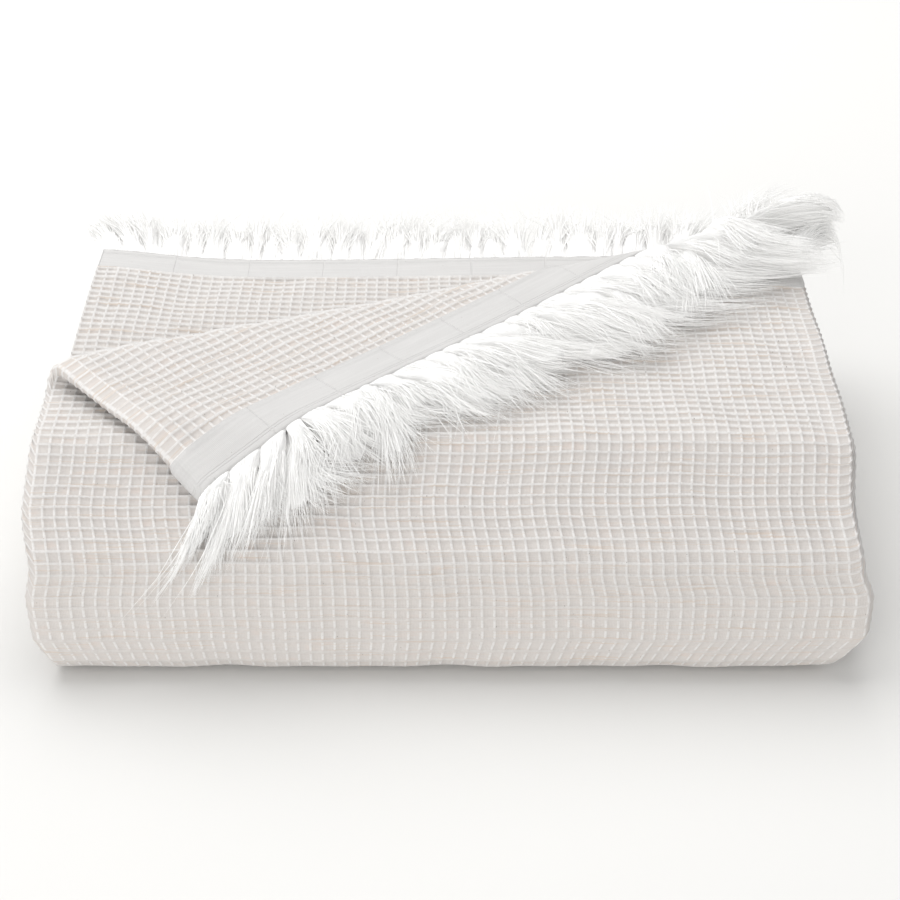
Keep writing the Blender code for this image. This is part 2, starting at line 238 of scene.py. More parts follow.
@dataclass(frozen=True)
class Stack:
    """How the flat cloth is folded: it turns a place on the cloth into a place in the stack."""

    thickness: float = 0.0044
    ply_pitch: float = 0.0059
    plies: int = 3
    passes: int = 6
    half_width: float = 0.2145
    depth: float = 0.2926
    inner_edge_x: float = -0.2085
    middle_edge_x: float = 0.2044
    left_outs: tuple[float, ...] = (-0.012, -0.0035, -0.002, -0.005, 0.0005, 0.0)
    right_outs: tuple[float, ...] = (-0.012, 0.0035, 0.0045, -0.001, -0.004, 0.0)
    crest: Pair = (0.0734, 0.020)
    shoulder: Triple = (0.0179, 0.0658, 0.0125)
    heel: Pair = (0.0056, 0.0085)
    back_folds: Pair = (0.291, 0.285)
    front_folds: Pair = (0.0297, 0.0722)
    lower_end: float = 0.286
    lower_end_pass: int = 4
    lower_bend_radius: float = 0.034
    hump: float = 0.075
    hump_width: float = 0.055
    hump_start: float = 0.10
    hump_run: float = 0.16
    wave: float = 0.009
    slanted_wave: float = 0.0054
    waves_across: float = 14.0
    waves_back: float = 22.0
    crease_y: float = 0.1150
    crease_angle: float = math.radians(21.4)
    roll_radius: float = 0.0076
    flap_gap: float = 0.0022
    flap_settle_run: float = 0.05

    @cached_property
    def lowest(self) -> float:
        """Height of the middle ply of the lowest pass."""
        return self.thickness / 2 + self.ply_pitch

    @cached_property
    def heights(self) -> tuple[float, ...]:
        """Height of the middle ply of each pass."""
        return tuple(self.lowest + n * self.plies * self.ply_pitch for n in range(self.passes))

    @cached_property
    def corners(self) -> tuple[Corner, ...]:
        """The corners of the middle ply's path, from the upper end on."""
        levels, turn = self.heights, self.plies / 2 * self.ply_pitch
        path = [
            Corner(self.depth, levels[-1], 0.0),
            Corner(self.crest[0], levels[-1], self.crest[1]),
            Corner(*self.shoulder),
            Corner(self.heel[0], levels[0], self.heel[1]),
        ]
        for level in range(self.lower_end_pass):
            at_back = level % 2 == 0
            place = (self.back_folds if at_back else self.front_folds)[level // 2]
            y = place - self.lowest if at_back else place
            path += [Corner(y, levels[level], turn), Corner(y, levels[level + 1], turn)]
        return (*path, Corner(self.lower_end, levels[self.lower_end_pass], 0.0))

    @cached_property
    def moves(self) -> list[Triple]:
        """The straight runs and arcs along the path: each run, then its arc's radius and turn."""
        points = [Vector((corner.y, corner.z)) for corner in self.corners]
        legs = [end - start for start, end in zip(points, points[1:])]
        moves, taken = [], 0.0
        for leg, after, corner in zip(legs, legs[1:], self.corners[1:]):
            turn = -leg.angle_signed(after)
            tangent = corner.radius * math.tan(abs(turn) / 2)
            moves.append((leg.length - taken - tangent, corner.radius, turn))
            taken = tangent
        return [*moves, (legs[-1].length - taken, 0.0, 0.0)]

    @cached_property
    def knots(self) -> tuple[Values, Values]:
        """Where along the path the heading starts or stops turning, and the heading there."""
        places, headings = [0.0], [math.pi]
        for run, radius, turn in self.moves:
            places += [places[-1] + run, places[-1] + run + radius * abs(turn)]
            headings += [headings[-1], headings[-1] + turn]
        return np.array(places), np.array(headings)

    @cached_property
    def heel_end(self) -> float:
        """Where along the path its third bend ends, which is the heel."""
        return float(self.knots[0][2 * 3])

    @cached_property
    def path_length(self) -> float:
        """Length of the middle ply's path."""
        return float(self.knots[0][-1])

    @cached_property
    def half_pitch(self) -> float:
        """Half the distance between two plies, and the radius of the fold that joins them."""
        return self.ply_pitch / 2

    @cached_property
    def left_x(self) -> float:
        """Where the left nose starts to turn."""
        return self.half_pitch - self.half_width + self.thickness / 2

    @cached_property
    def right_x(self) -> float:
        """Where the right nose starts to turn."""
        return self.half_width - self.thickness / 2 - self.ply_pitch

    @cached_property
    def panels(self) -> tuple[Panel, Panel, Panel]:
        """The inner, outer and middle panels, in their order across the flat cloth."""
        inner = Panel(0.0, self.inner_edge_x, 1, self.right_x - self.inner_edge_x, -1, -1)
        start = inner.length + math.pi * self.ply_pitch
        outer = Panel(start, self.right_x, -1, self.right_x - self.left_x, 1, 1)
        start += outer.length + math.pi * self.half_pitch
        return inner, outer, Panel(start, self.left_x, 1, self.middle_edge_x - self.left_x, 0, -1)

    @cached_property
    def noses(self) -> tuple[Nose, Nose]:
        """The right and left noses, in their order across the flat cloth."""
        inner, outer, _ = self.panels
        return (
            Nose(inner.length, self.right_x, 0.0, self.ply_pitch, 1),
            Nose(outer.start_u + outer.length, self.left_x, self.half_pitch, self.half_pitch, -1),
        )

    @cached_property
    def flat_width(self) -> float:
        """Width of the flat cloth."""
        return self.panels[2].start_u + self.panels[2].length

    @cached_property
    def flat_length(self) -> float:
        """Length of the flat cloth, which is the same for every ply."""
        return self.path_length - math.pi * self.ply_pitch

    @cached_property
    def crease_out(self) -> Pair:
        """The way in plan that is square to the crease, towards the turned corner."""
        return -math.sin(self.crease_angle), math.cos(self.crease_angle)

    def across(self, u: Values, lift: Values) -> tuple[Values, Values, Values, Values]:
        """The letter fold.

        Args:
            u: Places across the flat cloth.
            lift: How far each point stands out of the middle of the cloth, to its face.

        Returns:
            x and rise from the middle ply, for the middle of the cloth and then for the points.
        """
        middle_x, middle_rise = np.empty_like(u), np.empty_like(u)
        x, rise = np.empty_like(u), np.empty_like(u)
        for panel in self.panels:
            here = u >= panel.start_u
            middle_x[here] = panel.start_x + panel.way * (u[here] - panel.start_u)
            middle_rise[here] = panel.level * self.ply_pitch
            x[here] = middle_x[here]
            rise[here] = middle_rise[here] + panel.face * lift[here]
        for nose in self.noses:
            angle = (u - nose.start_u) / nose.radius
            here = (angle > 0) & (angle < math.pi)
            sine, cosine = nose.side * np.sin(angle[here]), nose.side * np.cos(angle[here])
            radius = nose.radius + lift[here]
            middle_x[here] = nose.centre_x + nose.radius * sine
            middle_rise[here] = nose.centre_rise - nose.radius * cosine
            x[here] = nose.centre_x + radius * sine
            rise[here] = nose.centre_rise - radius * cosine
        return middle_x, middle_rise, x, rise

    def way(self, u: Values) -> Values:
        """Which way along X the cloth runs.

        Args:
            u: Places across the flat cloth.

        Returns:
            1 or -1 for each of them.
        """
        outer = self.panels[1]
        on_outer = (u >= outer.start_u) & (u <= outer.start_u + outer.length)
        return np.where(on_outer, outer.way, 1)

    def along(self, s: Values) -> tuple[Values, Values, Values]:
        """Follows the middle ply's path.

        Args:
            s: Places along it.

        Returns:
            y, z and the heading at each of them.
        """
        y, z = np.empty_like(s), np.empty_like(s)
        heading = np.full_like(s, math.pi)
        at_y, at_z, at_heading, start = self.corners[0].y, self.corners[0].z, math.pi, 0.0
        for run, radius, turn in self.moves:
            here = s >= start if start else np.ones_like(s, bool)
            y[here] = at_y + (s[here] - start) * math.cos(at_heading)
            z[here] = at_z + (s[here] - start) * math.sin(at_heading)
            heading[here] = at_heading
            at_y += run * math.cos(at_heading)
            at_z += run * math.sin(at_heading)
            start += run
            if not turn:
                break
            bend = math.copysign(radius, turn)
            centre_y = at_y - bend * math.sin(at_heading)
            centre_z = at_z + bend * math.cos(at_heading)
            here = s >= start
            turned = at_heading + (s[here] - start) / bend
            y[here] = centre_y + bend * np.sin(turned)
            z[here] = centre_z - bend * np.cos(turned)
            heading[here] = turned
            start += radius * abs(turn)
            at_heading += turn
            at_y = centre_y + bend * math.sin(at_heading)
            at_z = centre_z - bend * math.cos(at_heading)
        return y, z, heading

    def path_place(self, length: Values, rise: Values) -> Values:
        """Where along the middle ply's path a length of another ply ends.

        Each ply has a way of its own round the bends, so the plies slip along each other.

        Args:
            length: Lengths along the other plies, each from where the path starts.
            rise: How far outside the middle ply each of them lies.

        Returns:
            The places along the middle ply's path.
        """
        places, headings = self.knots
        turns = headings - math.pi
        s = length.copy()
        for start, end, before, after in zip(places, places[1:], turns, turns[1:]):
            low, high = start + rise * before, end + rise * after
            here = length >= low
            s[here] = start + ((length - low) * (end - start) / (high - low + TINY))[here]
        return s

    def slip(self, middle_rise: Values) -> Values:
        """How much further along its own way a ply starts than its place in the flat cloth."""
        return math.pi * (self.ply_pitch + middle_rise)

    def side_shift(self, x: Values, z: Values) -> Values:
        """How far the passes stand out at the two sides, past the outer wrap's half width.

        Args:
            x: Places across the stack.
            z: Heights in it.

        Returns:
            The shift of each place along X.
        """
        heights, outs = np.array(self.heights), np.array((self.left_outs, self.right_outs))
        after = np.clip(np.searchsorted(heights, z), 1, len(heights) - 1)
        below = heights[after - 1]
        share = soft_step(z, below, heights[after] - below)
        left, right = outs[:, after - 1] + (outs[:, after] - outs[:, after - 1]) * share
        rightness = (x + self.half_width) / (2 * self.half_width)
        return right * rightness - left * (1 - rightness)

    def past_crease(self, x: Values, s: Values) -> Values:
        """How far a place of the top pass lies past the turned corner's crease."""
        out_x, out_y = self.crease_out
        return (x + self.half_width) * out_x + (self.depth - s - self.crease_y) * out_y

    def roll_length(self, middle_rise: Values) -> Values:
        """What half a turn of the corner's roll takes up of a ply."""
        return math.pi * (self.roll_radius + self.half_pitch - middle_rise)

    def turned_over(
        self, x: Values, s: Values, middle_rise: Values, rise: Values, turned: Values
    ) -> tuple[Values, Values, Values]:
        """Rolls what is past the crease up and forward.

        Args:
            x: Places across the stack.
            s: Places along the path.
            middle_rise: How far the middle of each point's ply lies outside the middle ply.
            rise: How far each point itself lies outside it.
            turned: Whether each point belongs to the turned corner.

        Returns:
            The new x, s and rise.
        """
        past = self.past_crease(x, s)
        radius = self.roll_radius + self.half_pitch - middle_rise
        own_radius = radius - (rise - middle_rise)
        centre = self.half_pitch + self.roll_radius
        flat_out = self.roll_length(middle_rise) - past
        flap_rise = self.half_pitch + self.ply_pitch + self.thickness + self.flap_gap
        loose = self.half_pitch + 2 * self.roll_radius - flap_rise
        settled = loose * soft_step(-flat_out / self.flap_settle_run)
        in_roll = past < self.roll_length(middle_rise)
        turned = turned & (past > 0)
        moved = np.where(in_roll, own_radius * np.sin(past / radius), flat_out) - past
        moved = np.where(turned, moved, 0.0)
        rolled_rise = centre - own_radius * np.cos(past / radius)
        new_rise = np.where(in_roll, rolled_rise, 2 * centre - rise - settled)
        new_middle = np.where(in_roll, centre, 2 * centre - middle_rise - settled)
        new_s = s - moved * self.crease_out[1]
        new_s = np.where(turned, self.path_place(new_s, new_middle), new_s)
        return x + moved * self.crease_out[0], new_s, np.where(turned, new_rise, rise)

    def loft(self, x: Values, y: Values) -> Values:
        """How much thicker than flat the stack lies.

        Args:
            x: Places across the stack.
            y: How far back they lie.

        Returns:
            The extra thickness at each place, as a share of its height.
        """
        from_left = (x + self.half_width) / self.hump_width
        hump = self.hump * np.exp(-from_left * from_left)
        hump = hump * soft_step(y, self.hump_start, self.hump_run)
        wave = self.wave * np.sin(self.waves_across * x)
        wave += self.slanted_wave * np.sin(self.waves_back * y + self.waves_across * x)
        return hump + wave * soft_step(y / self.hump_start)

    def place(
        self, u: Values, v: Values, lift: Values, root: tuple[Values, Values] | None = None,
        up: Values | float = 0.0, tuft_u: Values | None = None,
    ) -> Values:
        """Folds points of the flat cloth, or of strands drawn from roots on it.

        Args:
            u: Places across the flat cloth.
            v: Distances from its upper end.
            lift: How far each point stands out of the middle of the cloth, to its face.
            root: The u and v that each strand's points are drawn from.
            up: How far each point then stands further out of the stack.
            tuft_u: The middle of the tuft that each point belongs to, which turns as a whole.

        Returns:
            The points in the stack, one row each.
        """
        root_u, root_v = root or (u, v)
        middle_x, middle_rise, x, rise = self.across(root_u, lift)
        leant = (u - root_u) * self.way(root_u)
        root_s = self.path_place(root_v + self.slip(middle_rise), middle_rise)
        s = root_s + (v - root_v)
        turned = (s < self.moves[0][0]) & (middle_rise > -NEAR)
        turned &= root_u > self.panels[1].start_u - NEAR
        if tuft_u is not None:
            middle_x, tuft_rise, _, _ = self.across(tuft_u, np.zeros_like(tuft_u))
            root_s = self.path_place(root_v + self.slip(tuft_rise), tuft_rise)
        turned &= self.past_crease(middle_x, root_s) > 0
        x, s, rise = self.turned_over(x + leant, s, middle_rise, rise, turned)
        y, z, heading = self.along(s)
        x = x + self.side_shift(x, z)
        rise = rise + up
        y = y + rise * np.sin(heading)
        z = z - rise * np.cos(heading)
        hanging = s > self.path_length
        centre_z = self.heights[self.lower_end_pass] - self.lowest - self.lower_bend_radius
        angle, radius = (y - self.lower_end) / self.lower_bend_radius, z - centre_z
        y = np.where(hanging, self.lower_end + radius * np.sin(angle), y)
        z = np.where(hanging, centre_z + radius * np.cos(angle), z)
        z = z + (z - self.thickness / 2) * self.loft(x, y)
        return np.stack((x, y - self.depth / 2, np.maximum(z, 0.0)), axis=-1)


@dataclass(frozen=True)
class Waffle:
    """The weave: cells of ridges round a sunk floor, and a plain band at each end.

    The rows stand up where the cloth lies slack near its upper end, and lie flatter from where
    it is drawn round the front.
    """

    columns: int = 204
    rows: int = 249
    block: int = 3
    band: float = 0.0245
    row_share: float = 0.16
    column_share: float = 0.14
    row_lift: float = 0.0022
    column_lift: float = 0.0016
    drawn_lift: float = 0.0012
    floor_lift: float = 0.0005
    band_lift: float = 0.0010
    slack_end: float = 0.235
    drawn_start: float = 0.300
    nose_lift: float = 0.55
    nose_reach: float = 0.4

    def cell_across(self, stack: Stack) -> float:
        """Width of a cell."""
        return stack.flat_width / self.columns

    def cell_along(self, stack: Stack) -> float:
        """Length of a cell."""
        return (stack.flat_length - 2 * self.band) / self.rows


@dataclass
class BlanketCloth:
    """The whole cloth: a closed sheet with its ridges modelled where they show."""

    stack: Stack
    weave: Waffle
    name: str = "blanket_sheet"
    fold_margin: float = 0.004
    crease_margin: float = 0.012
    nose_margin: float = 0.006
    edge_margin: float = 0.01
    back_depth: float = 0.045
    floor_margin: float = 0.004
    flat_cosine: float = 0.9
    flat_sine: float = 0.05
    bend_step: float = 1e-3
    wobble: float = 0.00028
    sag: float = 0.0005
    pulls_across: tuple[Wave, ...] = (Wave(1.0, 17, 41), Wave(0.6, -31, 113, 1.3))
    pulls_along: tuple[Wave, ...] = (Wave(1.0, 37, -19, 0.7), Wave(0.6, 97, 23))
    dips: tuple[Wave, ...] = (Wave(1.0, 83, 29, 2.0), Wave(1.0, -23, 61), Wave(0.5, 160, 90))
    FACE = 1.0
    BACK = 0.0

    @cached_property
    def cells(self) -> Pair:
        """Width and length of a cell."""
        return self.weave.cell_across(self.stack), self.weave.cell_along(self.stack)

    def lines_across(self) -> list[float]:
        """The lines of the coarse blocks across the flat cloth."""
        columns = range(0, self.weave.columns + 1, self.weave.block)
        return [self.cells[0] * column for column in columns]

    def lines_along(self) -> list[float]:
        """Lays out the coarse blocks along the flat cloth, closer together in its folds.

        Returns:
            Where their lines are.
        """
        cell, band, slip = self.cells[1], self.weave.band, math.pi * self.stack.ply_pitch
        lines = [0.0]
        for row in range(self.weave.rows + 1):
            s = band + cell * row + slip
            near = np.interp((s - 2 * cell, s + 2 * cell), *self.stack.knots)
            if row % self.weave.block == 0 or abs(near[1] - near[0]) > self.bend_step:
                lines.append(band + cell * row)
        return [*lines, self.stack.flat_length]

    def slab(self) -> bmesh.types.BMesh:
        """Makes the flat cloth as a closed slab of blocks, its back at z 0 and its face at z 1.

        Returns:
            The slab.
        """
        lines_u, lines_v = self.lines_across(), self.lines_along()
        mesh = bmesh.new()
        columns, rows = len(lines_u) - 1, len(lines_v) - 1
        bmesh.ops.create_grid(mesh, x_segments=columns, y_segments=rows, size=0.5)
        for vert in mesh.verts:
            column, row = round((vert.co.x + 0.5) * columns), round((vert.co.y + 0.5) * rows)
            vert.co = (lines_u[column], lines_v[row], self.BACK)
        made = bmesh.ops.extrude_face_region(mesh, geom=mesh.faces[:])["geom"]
        for vert in [part for part in made if isinstance(part, bmesh.types.BMVert)]:
            vert.co.z = self.FACE
        return mesh

    def shows(self, u: float, v: float, side: float) -> bool:
        """Whether the block round a place shows, so that it needs its ridges modelled.

        Args:
            u: Place across the flat cloth.
            v: Distance from its upper end.
            side: FACE or BACK.

        Returns:
            True where it shows.
        """
        stack, facing = self.stack, side == self.FACE
        for nose in stack.noses:
            end = nose.start_u + math.pi * nose.radius
            if facing and nose.start_u - self.nose_margin < u < end + self.nose_margin:
                return True
        x, rise, _, _ = stack.across(np.array([u]), np.array([0.0]))
        s = stack.path_place(np.array([v]) + stack.slip(rise), rise)
        past = float(stack.past_crease(x, s)[0])
        on_top = float(s[0]) < stack.moves[0][0]
        level = round(float(rise[0]) / stack.ply_pitch)
        roll = float(stack.roll_length(rise)[0]) + self.crease_margin
        if level == 0:
            return on_top and past > -self.crease_margin and (facing or past < roll)
        if level == -1:
            return not facing and on_top and past > -2 * self.crease_margin
        if on_top and past > -self.crease_margin:
            return past < roll
        y, z, heading = (float(value[0]) for value in stack.along(s))
        behind = y > stack.depth - self.back_depth and z > self.floor_margin and not on_top
        turning = math.cos(heading) < self.flat_cosine and abs(math.sin(heading)) > self.flat_sine
        wrapped = float(s[0]) < stack.heel_end + self.fold_margin
        return facing and (wrapped or (behind and turning))

    def refine(self, mesh: bmesh.types.BMesh) -> None:
        """Cuts the blocks that show into three by three for each cell, and marks them.

        Args:
            mesh: The slab.
        """
        modelled = mesh.verts.layers.float.new(MODELLED)
        zone = mesh.faces.layers.int.new("zone")
        for face in mesh.faces:
            centre = face.calc_center_median()
            if centre.z in (self.FACE, self.BACK) and self.shows(*centre):
                face[zone] = 1
        for axis, cell in enumerate(self.cells):
            groups: dict[int, list[bmesh.types.BMEdge]] = {}
            for edge in {edge for face in mesh.faces if face[zone] for edge in face.edges}:
                start, end = (vert.co for vert in edge.verts)
                length = abs(end[axis] - start[axis])
                if length > CLOSE:
                    cuts = THIRDS * max(1, round(length / cell)) - 1
                    groups.setdefault(cuts, []).append(edge)
            for cuts, edges in groups.items():
                edges.sort(key=lambda edge: edge.index)
                bmesh.ops.subdivide_edges(mesh, edges=edges, cuts=cuts)
                mesh.edges.index_update()
        for vert in {vert for face in mesh.faces if face[zone] for vert in face.verts}:
            vert[modelled] = 1.0

    def relief(self, u: Values, v: Values, face: Values) -> tuple[Values, Values, Values]:
        """Draws the ridges together and lifts them.

        Args:
            u: Places across the flat cloth, cells cut in three.
            v: Distances from its upper end, cells cut in three.
            face: True for points of the face, False for points of the back.

        Returns:
            The new u and v, and how far each point stands out to the face.
        """
        weave, stack, (cell_u, cell_v) = self.weave, self.stack, self.cells
        column = np.array((0.0, weave.column_share, 1 - weave.column_share))
        row = np.array((0.0, weave.row_share, 1 - weave.row_share))
        third_u = np.rint(u / cell_u * THIRDS).astype(int)
        third_v = np.rint((v - weave.band) / cell_v * THIRDS).astype(int)
        in_band = v < weave.band - CLOSE
        in_band |= v > stack.flat_length - weave.band + CLOSE
        new_u = (third_u // THIRDS + column[third_u % THIRDS]) * cell_u
        new_v = weave.band + (third_v // THIRDS + row[third_v % THIRDS]) * cell_v
        drawn = soft_step(v, weave.slack_end, weave.drawn_start - weave.slack_end)
        column_lift = weave.column_lift + (weave.drawn_lift - weave.column_lift) * drawn
        row_lift = weave.row_lift + (weave.drawn_lift - weave.row_lift) * drawn
        lift = np.where(third_u % THIRDS == 0, column_lift, weave.floor_lift)
        lift = np.where(third_v % THIRDS == 0, row_lift, lift)
        for nose in stack.noses:
            bend = math.pi * nose.radius
            clear = soft_step(np.abs(u - nose.start_u - bend / 2) / bend - weave.nose_reach)
            lift = lift * (weave.nose_lift + (1 - weave.nose_lift) * clear)
        lift = np.where(in_band, weave.band_lift, lift)
        return np.where(in_band, u, new_u), np.where(in_band, v, new_v), np.where(face, lift, -lift)

    def uneven(self, u: Values, v: Values) -> tuple[Values, Values, Values]:
        """How far the hand of the cloth pulls its rows about.

        Args:
            u: Places across the flat cloth.
            v: Distances from its upper end.

        Returns:
            The shifts in u and v, and a lift.
        """
        shift_u, shift_v = (
            self.wobble * (first.at(u, v) + second.at(u, v))
            for first, second in (self.pulls_across, self.pulls_along)
        )
        first, second, fine = (wave.at(u, v) for wave in self.dips)
        inside = (u > self.edge_margin) & (u < self.stack.flat_width - self.edge_margin)
        inside &= (v > self.weave.band) & (v < self.stack.flat_length - self.weave.band)
        return shift_u * inside, shift_v * inside, self.sag * (first * second + fine) * inside

    def build(self) -> bpy.types.Object:
        """Makes the folded cloth, with its flat places as its UV map.

        Returns:
            The cloth.
        """
        mesh = self.slab()
        self.refine(mesh)
        bmesh.ops.triangulate(mesh, faces=mesh.faces[:])
        data = bpy.data.meshes.new(self.name)
        mesh.to_mesh(data)
        mesh.free()
        flat_u, flat_v, side = read(data.vertices, "co", 3, np.float32).astype(float).T
        u, v, lift = self.relief(flat_u, flat_v, side > (self.FACE + self.BACK) / 2)
        shift_u, shift_v, sag = self.uneven(u, v)
        folded = self.stack.place(u + shift_u, v + shift_v, lift + sag)
        data.vertices.foreach_set("co", folded.astype(np.float32).ravel())
        corners = read(data.loops, "vertex_index", 1, np.int32)[:, 0]
        uv = data.uv_layers.new(name=FLAT_UV)
        uv.data.foreach_set("uv", np.stack((u, v), axis=1)[corners].astype(np.float32).ravel())
        outwards(data)
        data.shade_smooth()
        return into_scene(self.name, data)


@dataclass(frozen=True)
class Comb:
    """One stretch of fringe: the tufts that leave one end of the cloth, over some of its plies."""

    name: str
    end: End
    lie: Lie
    starts: Pair
    strands: int
    seed: int
    reach: float
    fullness: float
    pinch: float
    stiffness: Pair
    settle: float = 0.0
    rise: float = 0.0
    spread: float = 0.3
    flare: float = 1.0
    pitch: float = 0.0125
    around: Pair = (-0.25, 1.25)


@dataclass(frozen=True)
class Brushing:
    """How unevenly brushing leaves the tufts, and then the strands that lie over them."""

    spacing: Pair = (-0.32, 0.32)
    reach: Pair = (0.76, 1.16)
    rise: float = 0.45
    flare: Pair = (0.4, 1.6)
    fullness: Pair = (0.8, 1.25)
    droop: Pair = (0.1, 1.0)
    core_reach: Pair = (-0.05, 0.05)
    lumps: Pair = (0.12, 0.08)
    strand_place: Pair = (0.55, 1.0)
    strand_share: Pair = (0.66, 1.10)
    strand_height: Pair = (0.92, 1.08)
    strand_width: Pair = (0.65, 1.45)
    strand_tones: Pair = (0, 40)
    strays: float = 0.16
    stray_by: float = 2.8
    curl: Pair = (0.0005, 0.0024)
    curl_turns: Pair = (0.4, 1.4)
    curl_up: float = 0.45
    aside: float = 0.13


class Tufts(NamedTuple):
    """The tufts of a comb, one value of each kind a tuft."""

    start: Values
    end: Values
    lean: Values
    reach: Values
    up: Values
    flare: Values
    stiffness: Values
    droop: Values
    fullness: Values


@dataclass
class Fringe:
    """The brushed fringe of one stretch: soft tufts with tapered strands lying over them."""

    stack: Stack
    comb: Comb
    brushing: Brushing = Brushing()
    strand_rings: int = 5
    strand_sides: int = 3
    strand_radius: float = 0.00022
    taper: tuple[tuple[float, ...], tuple[float, ...]] = ((0, 0.15, 0.6, 1), (0.8, 1.15, 1.0, 0.0))
    core_rings: int = 13
    core_sides: int = 12
    core_share: float = 0.76
    root_half: float = 0.0011
    swell_pace: float = 2.2
    settle_pace: float = 1.5
    tip_loss: float = 0.75
    core_tip_loss: float = 0.55
    tip: Pair = (0.55, 0.45)
    pinch_run: float = 0.35
    flare_run: Pair = (0.3, 0.7)
    bow: Pair = (0.55, 0.45)
    overhang: float = 0.004
    highest: float = 0.134
    headroom: float = 0.0085
    left_share: float = 0.6
    fans: tuple[Fan, ...] = (
        Fan(-0.21, -0.90, -1.45, -1.20, 0.10, 0.55, 0.46, 0.0, 1.3),
        Fan(-0.18, -0.30, -0.50, -0.30, 0.10, 0.50, 0.78, 0.0, 1.2),
        Fan(-0.11, 0.05, -0.10, 0.10, -0.20, 0.38, 1.15, 0.0, 1.5),
        Fan(0.00, -0.08, 0.20, 0.35, 0.15, 0.34, 1.40, 0.001, 1.8),
        Fan(0.08, 0.10, 0.15, 0.45, -0.10, 0.36, 1.60, 0.002, 1.9),
        Fan(0.135, 0.30, 0.30, 0.60, 0.20, 0.45, 1.50, 0.008, 2.0),
        Fan(0.16, 0.40, 0.40, 0.80, 0.20, 0.60, 1.40, 0.020, 2.0),
        Fan(0.21, 0.60, 1.20, 1.35, 0.20, 0.70, 1.20, 0.025, 1.8),
    )

    def fan(self, x: Values, column: str) -> Values:
        """A column of the fans at places across the stack."""
        places = [fan.x for fan in self.fans]
        return np.interp(x, places, [getattr(fan, column) for fan in self.fans])

    @cached_property
    def tufts(self) -> Tufts:
        """The tufts, unevenly spaced, each with a lean, length, lift and width of its own."""
        comb, stack, brushing = self.comb, self.stack, self.brushing
        random = np.random.default_rng(comb.seed)
        count = round((comb.starts[1] - comb.starts[0]) / comb.pitch)
        bounds = np.linspace(*comb.starts, count + 1)
        bounds[1:-1] += random.uniform(*brushing.spacing, count - 1) * comb.pitch
        middle = (bounds[1:] + bounds[:-1]) / 2
        x = stack.across(middle, np.zeros(count))[0]
        spread, longer, raised, fuller = comb.spread, 1.0, 0.0, 1.0
        if comb.lie in (Lie.OVER, Lie.UNDER):
            columns = ("spread", "reach", "rise", "fullness")
            spread, longer, raised, fuller = (self.fan(x, column) for column in columns)
        lean = self.fan(x, comb.lie.value) * stack.way(middle)
        return Tufts(
            start=bounds[:-1],
            end=bounds[1:],
            lean=lean + random.normal(0, 1, count) * spread,
            reach=comb.reach * random.uniform(*brushing.reach, count) * longer,
            up=random.normal(0, brushing.rise, count) * comb.fullness + raised,
            flare=random.uniform(*brushing.flare, count) * comb.flare,
            stiffness=random.uniform(*comb.stiffness, count),
            fullness=comb.fullness * fuller * random.uniform(*brushing.fullness, count),
            droop=random.uniform(*brushing.droop, count),
        )

    def half_height(self, tuft: Values, share: Values) -> Values:
        """Half the thickness of tufts at their share of the way from root to tip."""
        swell = soft_step(share * self.swell_pace) * (1 - self.tip_loss * soft_step(share, *self.tip))
        return self.root_half + self.tufts.fullness[tuft] * swell

    def flow(self, tuft: Values, across: Values, share: Values, up: Values, aside: Values) -> Values:
        """Where the places of tufts lie in the stack.

        Args:
            tuft: Which tuft each place belongs to.
            across: Where it is rooted across its tuft, from -1 to 1.
            share: How far out it is, from 0 at the root to 1 at the tip.
            up: How far it then stands out of the stack.
            aside: How far it is then moved along the cloth's end.

        Returns:
            The points, one row each.
        """
        comb, stack, tufts = self.comb, self.stack, self.tufts
        middle = (tufts.start[tuft] + tufts.end[tuft]) / 2
        half = (tufts.end[tuft] - tufts.start[tuft]) / 2
        out = tufts.reach[tuft] * share
        plump = tufts.fullness[tuft] / comb.fullness
        width = 1 - comb.pinch / plump**2 * soft_step(share / self.pinch_run)
        width = width + tufts.flare[tuft] * soft_step(share, *self.flare_run)
        bow = self.bow[0] + self.bow[1] * share
        u = middle + across * half * width + tufts.lean[tuft] * out * bow + aside
        edge_v, v = (0.0, -out) if comb.end is End.UPPER else (stack.flat_length, out)
        up = up + tufts.up[tuft] * share + comb.rise * share**2
        up = up - comb.settle * soft_step(share * self.settle_pace)
        start, end = comb.starts
        root_u = np.clip(middle + across * half, start + CLOSE, end - CLOSE)
        root = (root_u, np.full_like(u, edge_v))
        points = stack.place(u, edge_v + v, np.zeros_like(u), root, up, middle)
        beyond = np.maximum(np.abs(points[:, 0]) - (stack.half_width - self.overhang), 0.0)
        stiff = tufts.stiffness[tuft] * np.where(points[:, 0] < 0, self.left_share, 1.0)
        bent = beyond - stiff * (1 - np.exp(-beyond / stiff))
        points[:, 0] -= np.sign(points[:, 0]) * bent
        height = np.maximum(points[:, 2] - self.highest, 0.0)
        points[:, 2] -= height - self.headroom * (1 - np.exp(-height / self.headroom))
        points[:, 2] = np.maximum(points[:, 2] - bent * tufts.droop[tuft], 0.0)
        return points

